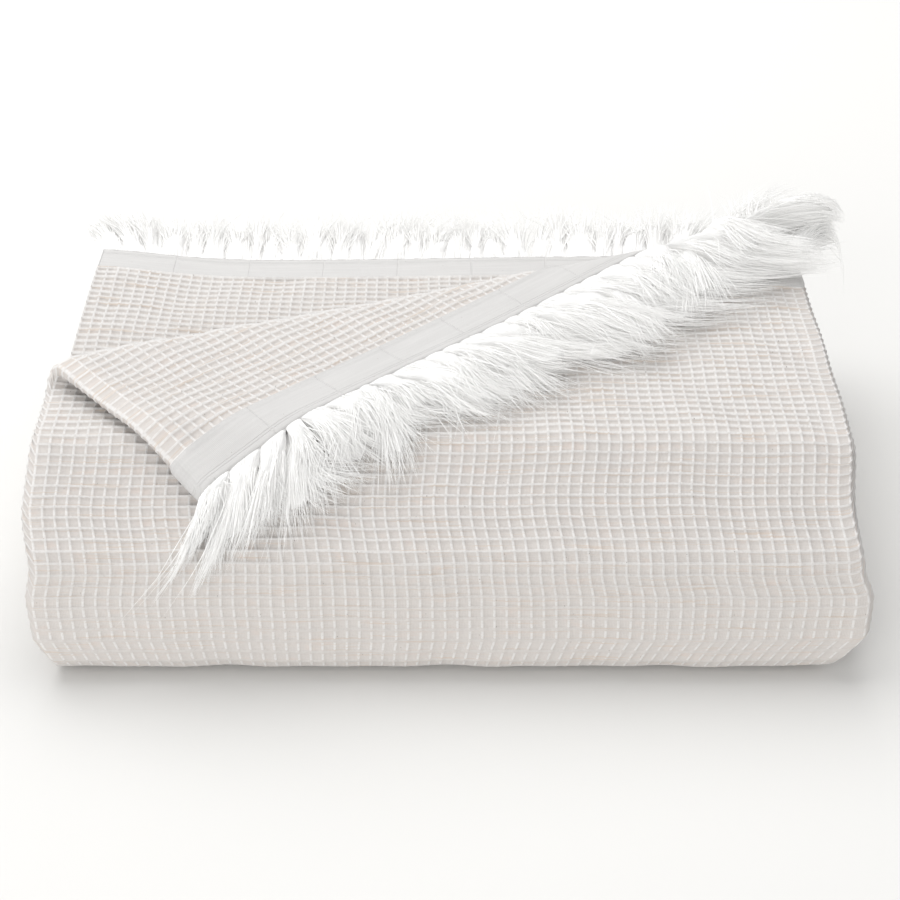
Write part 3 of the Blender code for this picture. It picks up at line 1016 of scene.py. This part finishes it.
    def tube(self, rings: int, sides: int) -> tuple[Values, Values, Values]:
        """A closed tube that ends in a point.

        Args:
            rings: How many rings it has, its tip among them.
            sides: How many points each ring has.

        Returns:
            The ring and the corner of each point, and the triangles.
        """
        mesh = bmesh.new()
        ring = mesh.verts.layers.int.new("ring")
        corner = mesh.verts.layers.int.new("corner")
        bmesh.ops.create_circle(mesh, segments=sides, radius=1.0, cap_ends=True)
        for place, vert in enumerate(mesh.verts):
            vert[corner] = place
        faces = mesh.faces[:]
        for level in range(1, rings):
            made = bmesh.ops.extrude_face_region(mesh, geom=faces)["geom"]
            faces = [part for part in made if isinstance(part, bmesh.types.BMFace)]
            for vert in faces[0].verts:
                vert[ring] = vert.co.z = level
        bmesh.ops.pointmerge(mesh, verts=faces[0].verts[:], merge_co=(0, 0, rings - 1))
        bmesh.ops.triangulate(mesh, faces=mesh.faces[:])
        bmesh.ops.recalc_face_normals(mesh, faces=mesh.faces[:])
        mesh.verts.index_update()
        places = np.array([(vert[ring], vert[corner]) for vert in mesh.verts])
        triangles = np.array([[vert.index for vert in face.verts] for face in mesh.faces])
        mesh.free()
        return places[:, 0], places[:, 1], triangles

    def copied(self, triangles: Values, count: int, size: int) -> Values:
        """The triangles of many copies, each of so many points."""
        return (triangles[None] + (np.arange(count) * size)[:, None, None]).reshape(-1, 3)

    def cores(self) -> tuple[Values, Values, Values]:
        """Makes the soft body of each tuft.

        Returns:
            All points, their triangles and their place in the fibre.
        """
        random = np.random.default_rng(self.comb.seed + 2)
        ring, corner, triangles = self.tube(self.core_rings, self.core_sides)
        count, size = len(self.tufts.start), len(ring)
        share = ring / (self.core_rings - 1)
        angle = 2 * math.pi * corner / self.core_sides
        at_tip = ring == self.core_rings - 1
        phase = random.uniform(0, 2 * math.pi, (2, count, 1))
        large, small = self.brushing.lumps
        rough = 1 + large * np.sin(3 * angle + phase[0] + 5 * share)
        rough += small * np.sin(2 * angle - phase[1] + 9 * share)
        rough = rough * (1 - self.core_tip_loss * soft_step(share, *self.tip))
        across = np.where(at_tip, 0.0, np.cos(angle)) * rough
        tuft = np.repeat(np.arange(count), size)
        height = self.half_height(tuft, np.tile(share, count)).reshape(count, -1)
        up = np.where(at_tip, 0.0, np.sin(angle)) * rough * height
        shares = np.tile(share, count) * self.core_share
        longer = random.uniform(*self.brushing.core_reach, count)
        shares += np.repeat(longer, size) * shares
        points = self.flow(tuft, across.ravel(), shares, up.ravel(), np.zeros(len(tuft)))
        fibre = np.stack((np.tile(np.cos(angle), count), shares, tuft), axis=1)
        return points, self.copied(triangles, count, size), fibre

    def lines(self) -> Values:
        """Draws the middle line of each strand.

        Returns:
            The points, as strands by rings by three.
        """
        comb, brushing, count = self.comb, self.brushing, self.comb.strands
        random = np.random.default_rng(comb.seed + 1)
        tuft = random.integers(0, len(self.tufts.start), count)
        angle = math.pi * random.uniform(*comb.around, count)
        across = np.cos(angle) * random.uniform(*brushing.strand_place, count) ** 0.5
        share = np.linspace(0, 1, self.strand_rings)[None, :]
        share = share * random.uniform(*brushing.strand_share, count)[:, None]
        over = np.sin(angle) * random.uniform(*brushing.strand_height, count)
        up = over[:, None] * self.half_height(tuft[:, None], share)
        stray = random.uniform(0, 1, count) < brushing.strays
        stray = np.where(stray, brushing.stray_by, 1.0)[:, None]
        phase = random.uniform(0, 2 * math.pi, (2, count, 1))
        curl = random.uniform(*brushing.curl, (2, count, 1)) * stray
        turns = random.uniform(*brushing.curl_turns, (2, count, 1))
        curve = np.sin(phase + 2 * math.pi * turns * share) - np.sin(phase) * (1 - share)
        swing = curl * share * curve
        aside = random.normal(0, brushing.aside, (count, 1)) * comb.reach * share**2 * stray
        up, shape = up + np.abs(swing[1]) * brushing.curl_up, share.shape
        tuft, across = (np.broadcast_to(each[:, None], shape).ravel() for each in (tuft, across))
        points = self.flow(tuft, across, share.ravel(), up.ravel(), (swing[0] + aside).ravel())
        return points.reshape(*shape, 3)

    def strands(self) -> tuple[Values, Values, Values]:
        """Makes the strands over the tufts.

        Returns:
            All points, their triangles and their place in the fibre.
        """
        lines = self.lines()
        ring, corner, triangles = self.tube(self.strand_rings, self.strand_sides)
        count = len(lines)
        random = np.random.default_rng(self.comb.seed + 3)
        tangent = np.gradient(lines, axis=1)
        tangent /= np.linalg.norm(tangent, axis=2, keepdims=True) + TINY
        across = np.cross(tangent, random.normal(0, 1, (count, 1, 3)))
        across /= np.linalg.norm(across, axis=2, keepdims=True) + TINY
        over = np.cross(tangent, across)
        share = np.linspace(0, 1, self.strand_rings)
        radius = self.strand_radius * random.uniform(*self.brushing.strand_width, (count, 1))
        radius = radius * np.interp(share, *self.taper)[None, :]
        angle = 2 * math.pi * corner / self.strand_sides
        way = across[:, ring] * np.cos(angle)[None, :, None]
        way += over[:, ring] * np.sin(angle)[None, :, None]
        points = (lines[:, ring] + way * radius[:, ring][..., None]).reshape(-1, 3)
        tone = np.repeat(random.uniform(*self.brushing.strand_tones, count), len(ring))
        fibre = np.stack((tone, np.tile(share[ring], count), tone), axis=1)
        return points, self.copied(triangles, count, len(ring)), fibre

    def build(self) -> bpy.types.Object:
        """Makes the stretch of fringe as one mesh of all its tufts and strands.

        Returns:
            The stretch.
        """
        core_points, core_triangles, core_fibre = self.cores()
        points, triangles, fibre = self.strands()
        points = np.vstack((core_points, points))
        triangles = np.vstack((core_triangles, triangles + len(core_points)))
        data = joined_mesh(self.comb.name, points, triangles)
        layer = data.attributes.new(FIBRE, "FLOAT_VECTOR", "POINT")
        layer.data.foreach_set("vector", np.vstack((core_fibre, fibre)).astype(np.float32).ravel())
        outwards(data)
        smooth = np.arange(len(triangles)) < len(core_triangles)
        data.polygons.foreach_set("use_smooth", smooth)
        return into_scene(self.comb.name, data)


class WeavePlace(NamedTuple):
    """Where a point lies in the weave, as sockets of a node tree."""

    uv: Socket
    across: Socket
    along: Socket
    from_end: Socket
    in_band: Socket
    from_column: Socket
    from_row: Socket


class Nodes:
    """A material's node tree with short ways to add and join nodes."""

    def __init__(self, name: str) -> None:
        """Starts a material with a Principled shader.

        Args:
            name: The material's name.
        """
        self.material = bpy.data.materials.new(name)
        self.material.use_nodes = True
        self.tree = self.material.node_tree
        self.shader = self.tree.nodes["Principled BSDF"]

    def add(self, kind: str, **settings: object) -> bpy.types.Node:
        """Adds a node.

        Args:
            kind: The type of node.
            settings: Values of its properties, and of its inputs with _ for the spaces.

        Returns:
            The node.
        """
        node = self.tree.nodes.new(kind)
        for key, value in settings.items():
            if hasattr(node, key):
                setattr(node, key, value)
            else:
                self.give(node.inputs[key.replace("_", " ")], value)
        return node

    def give(self, target: Socket, value: object) -> None:
        """Gives an input its value.

        Args:
            target: The input.
            value: A socket to join it to, or what it is set to.
        """
        if isinstance(value, Socket):
            self.tree.links.new(value, target)
        else:
            target.default_value = value

    def shade(self, **settings: object) -> None:
        """Gives inputs of the shader, named with _ for the spaces, their values."""
        for key, value in settings.items():
            self.give(self.shader.inputs[key.replace("_", " ")], value)

    def math(self, operation: str, *values: object) -> Socket:
        """Adds a Math node.

        Args:
            operation: What it does.
            values: Its inputs, each a socket or a number.

        Returns:
            Its output.
        """
        node = self.add("ShaderNodeMath", operation=operation)
        for place, value in enumerate(values):
            self.give(node.inputs[place], value)
        return node.outputs[0]

    def product(self, first: object, second: object) -> Socket:
        """Two values multiplied."""
        return self.math("MULTIPLY", first, second)

    def inverse(self, value: Socket) -> Socket:
        """What a value leaves of 1."""
        return self.math("SUBTRACT", 1.0, value)

    def ramp(self, source: Socket, low: float, high: float) -> Socket:
        """0 below low to 1 above high, softly."""
        limits = {"From_Min": low, "From_Max": high, "interpolation_type": "SMOOTHSTEP"}
        return self.add("ShaderNodeMapRange", Value=source, **limits).outputs[0]

    def mix(self, share: object, first: object, second: object) -> Socket:
        """Mixes two colours.

        Args:
            share: The share of the second one, a socket or a number.
            first: The first one, a socket or a colour.
            second: The second one, likewise.

        Returns:
            The mixed colour.
        """
        node = self.add("ShaderNodeMix", data_type="RGBA")
        for place, value in ((0, share), (6, first), (7, second)):
            self.give(node.inputs[place], value)
        return node.outputs[2]

    def noise(self, vector: Socket, stretch: Pair, detail: float) -> Socket:
        """Adds a noise over a stretched vector.

        Args:
            vector: The vector.
            stretch: The factors for its two axes.
            detail: How many finer layers the noise has.

        Returns:
            The noise.
        """
        node = self.add("ShaderNodeMapping", Vector=vector, Scale=(*stretch, 1.0))
        noise = self.add("ShaderNodeTexNoise", Vector=node.outputs[0], Scale=1.0, Detail=detail)
        return noise.outputs["Fac"]

    def fuzz(self, place: Socket, streaks: Triple, fuzz: Triple) -> tuple[Socket, Socket]:
        """Adds the streaks and the fuzz of spun cotton.

        Args:
            place: Where a point lies in it.
            streaks: How finely the streaks are drawn along each axis.
            fuzz: The same of the fuzz.

        Returns:
            The two values.
        """
        node = self.add("ShaderNodeGroup", node_tree=cotton_fuzz())
        for name, value in (("Place", place), ("Streak Scale", streaks), ("Fuzz Scale", fuzz)):
            self.give(node.inputs[name], value)
        return node.outputs["Streaks"], node.outputs["Fuzz"]

    def from_line(self, place: Socket, start: float, step: float) -> Socket:
        """How many steps a place lies from the nearest of evenly spaced lines."""
        steps = self.math("DIVIDE", self.math("SUBTRACT", place, start - step / 2), step)
        return self.math("ABSOLUTE", self.math("SUBTRACT", self.math("FRACT", steps), 0.5))

    def bump(self, height: Socket, strength: float, distance: float) -> None:
        """Gives the surface a relief."""
        node = self.add("ShaderNodeBump", Strength=strength, Distance=distance, Height=height)
        self.shade(Normal=node.outputs[0])


def cotton_fuzz() -> bpy.types.ShaderNodeTree:
    """The streaks and fuzz of spun cotton, as the node group that both finishes share.

    Returns:
        The group. It takes a place and how finely the streaks and the fuzz are drawn along each
        axis, and gives a value from 0 to 1 for each of them.
    """
    made = bpy.data.node_groups.get(FUZZ_GROUP)
    if made:
        return made
    tree = bpy.data.node_groups.new(FUZZ_GROUP, "ShaderNodeTree")
    for name in ("Place", "Streak Scale", "Fuzz Scale"):
        tree.interface.new_socket(name, in_out="INPUT", socket_type="NodeSocketVector")
    for name in ("Streaks", "Fuzz"):
        tree.interface.new_socket(name, in_out="OUTPUT", socket_type="NodeSocketFloat")
    source, target = tree.nodes.new("NodeGroupInput"), tree.nodes.new("NodeGroupOutput")
    for scale, name in (("Streak Scale", "Streaks"), ("Fuzz Scale", "Fuzz")):
        stretch = tree.nodes.new("ShaderNodeVectorMath")
        stretch.operation = "MULTIPLY"
        noise = tree.nodes.new("ShaderNodeTexNoise")
        noise.inputs["Scale"].default_value = 1.0
        noise.inputs["Detail"].default_value = 3.0
        tree.links.new(source.outputs["Place"], stretch.inputs[0])
        tree.links.new(source.outputs[scale], stretch.inputs[1])
        tree.links.new(stretch.outputs["Vector"], noise.inputs["Vector"])
        tree.links.new(noise.outputs["Fac"], target.inputs[name])
    return tree


@dataclass(frozen=True)
class WaffleCotton:
    """The finish of the cloth: pale ridges round warmer cells painted darker as shade, with tan slubs
    and fine yarns.

    The edges are where a ramp starts and ends, the noises how finely they are drawn along each
    axis, and the rest shares of a colour, heights of the relief and sizes on the cloth.
    """

    stack: Stack
    weave: Waffle
    row: Colour = (0.75, 0.732, 0.715, 1)
    # Painted shade: the rows' darker colour from where the cloth is drawn round the front.
    row_painted_shade: Colour = (0.635, 0.607, 0.582, 1)
    dash: Colour = (0.745, 0.73, 0.715, 1)
    # The cells' colour, darker and warmer than the ridges: painted shade in their hollows.
    floor: Colour = (0.61, 0.578, 0.552, 1)
    blush: Colour = (0.645, 0.565, 0.515, 1)
    slub: Colour = (0.59, 0.49, 0.405, 1)
    shade: Colour = (0.54, 0.503, 0.475, 1)
    band: Colour = (0.575, 0.566, 0.556, 1)
    band_light: Colour = (0.615, 0.606, 0.596, 1)
    speck: Colour = (0.30, 0.27, 0.25, 1)
    row_edge: Pair = (0.07, 0.14)
    column_edge: Pair = (0.06, 0.13)
    dash_edge: Pair = (0.10, 0.22)
    ridge_edge: Pair = (0.04, 0.22)
    blush_noise: Pair = (60, 160)
    blush_edge: Pair = (0.52, 0.72)
    blush_share: float = 0.55
    shade_noise: Pair = (700, 1100)
    shade_edge: Pair = (0.42, 0.72)
    shade_share: float = 0.34
    slub_noise: Triple = (24, 1000, 1)
    slub_edge: Pair = (0.57, 0.68)
    slub_share: float = 0.60
    band_noise: Pair = (30, 500)
    band_edge: Pair = (0.3, 0.8)
    specks: float = 45.0
    speck_size: float = 0.011
    speck_share: float = 0.75
    fuzz_noise: Triple = (2600, 2600, 1)
    yarns: Pair = (0.00078, 0.00084)
    yarn_height: float = 0.35
    stitch_in: float = 0.0045
    stitch_apart: float = 0.0008
    stitch_width: float = 0.0005
    seam_apart: float = 0.0225
    seam_width: float = 0.0007
    stitch_height: float = 2.5
    ridge_height: float = 4.0
    bump_strength: float = 0.55
    bump_height: float = 0.00025
    roughness: float = 0.92
    sheen: float = 0.25
    sheen_roughness: float = 0.5
    gloss: float = 0.15

    def place(self, n: Nodes) -> WeavePlace:
        """Finds where a point lies in the weave, from the UV map.

        Args:
            n: The node tree.

        Returns:
            Its place.
        """
        uv = n.add("ShaderNodeUVMap", uv_map=FLAT_UV).outputs[0]
        across, along, _ = n.add("ShaderNodeSeparateXYZ", Vector=uv).outputs
        from_end = n.math("MINIMUM", along, n.math("SUBTRACT", self.stack.flat_length, along))
        in_band = n.math("LESS_THAN", from_end, self.weave.band)
        from_column = n.from_line(across, 0.0, self.weave.cell_across(self.stack))
        from_row = n.from_line(along, self.weave.band, self.weave.cell_along(self.stack))
        return WeavePlace(uv, across, along, from_end, in_band, from_column, from_row)

    def colour(self, n: Nodes, at: WeavePlace, streaks: Socket) -> Socket:
        """Colours the cells, painted darker as shade, then the rows and dashes over them, the slubs,
        the band and specks.

        Args:
            n: The node tree.
            at: Where a point lies in the weave.
            streaks: The streaks of spun cotton there.

        Returns:
            The colour.
        """
        # Painted shade: the cells start from the darker, warmer floor colour, as shade in their
        # hollows.
        blush = n.ramp(n.noise(at.uv, self.blush_noise, 3.0), *self.blush_edge)
        colour = n.mix(n.product(blush, self.blush_share), self.floor, self.blush)
        drawn = n.ramp(at.along, self.weave.slack_end, self.weave.drawn_start)
        on_row = n.inverse(n.ramp(at.from_row, *self.row_edge))
        # Painted shade: from where the cloth is drawn round the front, the rows take a darker colour
        # near the cells', for the front face's lower light.
        colour = n.mix(on_row, colour, n.mix(drawn, self.row, self.row_painted_shade))
        on_column = n.inverse(n.ramp(at.from_column, *self.column_edge))
        between_rows = n.math("MAXIMUM", n.ramp(at.from_row, *self.dash_edge), n.inverse(drawn))
        colour = n.mix(n.product(on_column, between_rows), colour, self.dash)
        shade = n.ramp(n.noise(at.uv, self.shade_noise, 2.0), *self.shade_edge)
        colour = n.mix(n.product(shade, self.shade_share), colour, self.shade)
        slubs = n.product(n.ramp(streaks, *self.slub_edge), self.slub_share)
        colour = n.mix(slubs, colour, self.slub)
        light = n.ramp(n.noise(at.uv, self.band_noise, 3.0), *self.band_edge)
        colour = n.mix(at.in_band, colour, n.mix(light, self.band, self.band_light))
        specks = n.add("ShaderNodeTexVoronoi", voronoi_dimensions="2D", Vector=at.uv, Scale=self.specks)
        dots = n.math("LESS_THAN", specks.outputs["Distance"], self.speck_size)
        return n.mix(n.product(dots, self.speck_share), colour, self.speck)

    def height(self, n: Nodes, at: WeavePlace, fuzz: Socket) -> Socket:
        """Raises the yarns, the stitching of the band, and the ridges that aren't modelled.

        Args:
            n: The node tree.
            at: Where a point lies in the weave.
            fuzz: The fuzz of spun cotton there.

        Returns:
            The height of the relief.
        """
        yarn_u = n.math("SINE", n.product(at.across, 2 * math.pi / self.yarns[0]))
        yarn_v = n.math("SINE", n.product(at.along, 2 * math.pi / self.yarns[1]))
        yarns = n.product(n.math("ADD", yarn_u, yarn_v), 0.5)
        height = n.math("ADD", n.product(yarns, self.yarn_height), fuzz)
        stitches = n.math("ABSOLUTE", n.math("SUBTRACT", at.from_end, self.stitch_in))
        from_stitch = n.math("ABSOLUTE", n.math("SUBTRACT", stitches, self.stitch_apart))
        grooves = n.ramp(from_stitch, 0.0, self.stitch_width)
        seams = n.ramp(n.math("PINGPONG", at.across, self.seam_apart), 0.0, self.seam_width)
        marks = n.product(n.product(grooves, seams), at.in_band)
        height = n.math("ADD", height, n.product(marks, self.stitch_height))
        from_ridge = n.math("MINIMUM", at.from_row, at.from_column)
        ridges = n.inverse(n.ramp(from_ridge, *self.ridge_edge))
        modelled = n.add("ShaderNodeAttribute", attribute_name=MODELLED).outputs["Fac"]
        painted = n.inverse(n.math("MAXIMUM", modelled, at.in_band))
        return n.math("ADD", height, n.product(n.product(ridges, painted), self.ridge_height))

    def material(self) -> bpy.types.Material:
        """Builds the node tree.

        Returns:
            The material.
        """
        n = Nodes("waffle cotton")
        at = self.place(n)
        streaks, fuzz = n.fuzz(at.uv, self.slub_noise, self.fuzz_noise)
        n.shade(Base_Color=self.colour(n, at, streaks), Roughness=self.roughness)
        n.shade(Sheen_Weight=self.sheen, Sheen_Roughness=self.sheen_roughness)
        n.shade(Specular_IOR_Level=self.gloss)
        n.bump(self.height(n, at, fuzz), self.bump_strength, self.bump_height)
        return n.material


@dataclass(frozen=True)
class BrushedFringe:
    """The finish of the fringe: nearly white brushed cotton, each strand a little its own, with a faint
    painted glow.
    """

    light: Colour = (0.87, 0.868, 0.86, 1)
    shade: Colour = (0.80, 0.793, 0.78, 1)
    streak_noise: Triple = (9, 3, 1)
    streak_edge: Pair = (0.25, 0.7)
    fuzz_noise: Triple = (16, 4, 1)
    bump_strength: float = 0.7
    bump_height: float = 0.0008
    roughness: float = 0.85
    sheen: float = 0.3
    gloss: float = 0.15
    painted_glow: float = 0.10

    def material(self) -> bpy.types.Material:
        """Builds the node tree.

        Returns:
            The material.
        """
        n = Nodes("brushed fringe")
        fibre = n.add("ShaderNodeAttribute", attribute_name=FIBRE).outputs["Vector"]
        streaks, fuzz = n.fuzz(fibre, self.streak_noise, self.fuzz_noise)
        n.shade(Base_Color=n.mix(n.ramp(streaks, *self.streak_edge), self.shade, self.light))
        n.shade(Roughness=self.roughness, Sheen_Weight=self.sheen, Specular_IOR_Level=self.gloss)
        # Painted light: the fringe glows faintly in its own light colour, standing in for light
        # scattered inside the cotton.
        n.shade(Emission_Color=self.light, Emission_Strength=self.painted_glow)
        n.bump(fuzz, self.bump_strength, self.bump_height)
        return n.material


class Lamp(NamedTuple):
    """A soft square light that faces the stack."""

    name: str
    place: Triple
    size: float
    power: float


@dataclass(frozen=True)
class Studio:
    """The plain pale floor, the soft lights and the camera."""

    floor_half: float = 6.0
    floor_colour: Colour = (0.75, 0.745, 0.73, 1)
    floor_roughness: float = 0.7
    floor_gloss: float = 0.2
    focal_pixels: float = 1931.0
    picture_width: int = 900
    sensor_width: float = 36.0
    elevation: float = math.radians(32.9)
    eye: Triple = (0.0034, -0.9125, 0.6366)
    sky_colour: Colour = (1, 1, 1, 1)
    sky: float = 0.60
    lamps: tuple[Lamp, ...] = (
        Lamp("overhead softbox", (-0.45, 1.1, 2.0), 2.4, 51.0),
        Lamp("front fill", (-0.9, -2.5, 0.8), 2.0, 40.0),
    )

    def floor(self) -> bpy.types.Object:
        """Makes the floor that the stack rests on.

        Returns:
            The floor.
        """
        mesh = bmesh.new()
        bmesh.ops.create_grid(mesh, x_segments=1, y_segments=1, size=self.floor_half)
        data = bpy.data.meshes.new("studio_floor")
        mesh.to_mesh(data)
        mesh.free()
        n = Nodes("pale floor")
        n.shade(Base_Color=self.floor_colour, Roughness=self.floor_roughness)
        n.shade(Specular_IOR_Level=self.floor_gloss)
        data.materials.append(n.material)
        return into_scene("studio_floor", data)

    def light(self, lamp: Lamp) -> None:
        """Puts a light in its place.

        Args:
            lamp: The light.
        """
        data = bpy.data.lights.new(lamp.name, "AREA")
        data.size, data.energy = lamp.size, lamp.power
        piece = into_scene(lamp.name, data)
        piece.location = lamp.place
        piece.rotation_euler = Vector(lamp.place).to_track_quat("Z", "Y").to_euler()

    def camera(self) -> None:
        """The camera, at the height and angle that the picture was taken from."""
        lens = bpy.data.cameras.new("camera")
        lens.sensor_width = self.sensor_width
        lens.lens = lens.sensor_width * self.focal_pixels / self.picture_width
        piece = into_scene("camera", lens)
        piece.location = self.eye
        piece.rotation_euler = (math.pi / 2 - self.elevation, 0.0, 0.0)
        bpy.context.scene.camera = piece

    def build(self) -> None:
        """Sets the whole studio up."""
        self.floor()
        self.camera()
        for lamp in self.lamps:
            self.light(lamp)
        world = bpy.data.worlds.new("studio air")
        world.use_nodes = True
        air = world.node_tree.nodes["Background"]
        air.inputs["Color"].default_value = self.sky_colour
        air.inputs["Strength"].default_value = self.sky
        bpy.context.scene.world = world
        bpy.context.scene.view_settings.view_transform = "Standard"


def combs(stack: Stack) -> tuple[Comb, ...]:
    """Lists the stretches of fringe, from the turned corner's upper ply to the lower end.

    Args:
        stack: The folds, which part the upper end's fringe into its three stretches.

    Returns:
        The stretches.
    """
    _, outer, middle = stack.panels
    edge = stack.flat_width
    return (
        Comb(
            "fringe_turned_over", End.UPPER, Lie.OVER, (middle.start_u, edge),
            strands=6800, seed=11, reach=0.046, settle=0.002, fullness=0.0042,
            pinch=0.26, pitch=0.0155, around=(-0.45, 1.35), stiffness=(0.036, 0.053),
        ),
        Comb(
            "fringe_turned_under", End.UPPER, Lie.UNDER, (outer.start_u, middle.start_u),
            strands=6300, seed=23, reach=0.050, settle=0.001, fullness=0.0034,
            pinch=0.22, pitch=0.0150, around=(-0.45, 1.35), stiffness=(0.030, 0.052),
        ),
        Comb(
            "fringe_back", End.UPPER, Lie.BACK, (0.0, outer.start_u),
            strands=6500, seed=37, reach=0.039, rise=0.012, fullness=0.0036,
            pinch=0.10, spread=0.16, flare=0.6, stiffness=(0.030, 0.046),
        ),
        Comb(
            "fringe_lower", End.LOWER, Lie.LOWER, (0.0, edge),
            strands=5200, seed=53, reach=0.040, fullness=0.0016, spread=0.22,
            pinch=0.15, flare=0.5, pitch=0.0105, around=(-1.15, 0.6), stiffness=(0.010, 0.020),
        ),
    )


def main() -> None:
    """Builds the throw and the studio, and reports each piece."""
    logging.basicConfig(level=logging.INFO, format="%(name)s: %(message)s")
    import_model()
    stack, weave = Stack(), Waffle()
    cotton = WaffleCotton(stack, weave).material()
    white = BrushedFringe().material()
    cloth = BlanketCloth(stack, weave).build()
    cloth.data.materials.append(cotton)
    LOG.info("%s: %d triangles", cloth.name, len(cloth.data.polygons))
    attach(cloth, BODY)
    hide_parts("blanket_cloth")
    for comb in combs(stack):
        piece = Fringe(stack, comb).build()
        piece.data.materials.append(white)
        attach(piece, BODY)
        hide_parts("fringe_upper_end" if comb.end is End.UPPER else "fringe_lower_end")
        LOG.info("%s: %d triangles", piece.name, len(piece.data.polygons))
    stack.flat_width
    stack.flat_length
    Studio().build()


if __name__ == "__main__":
    main()
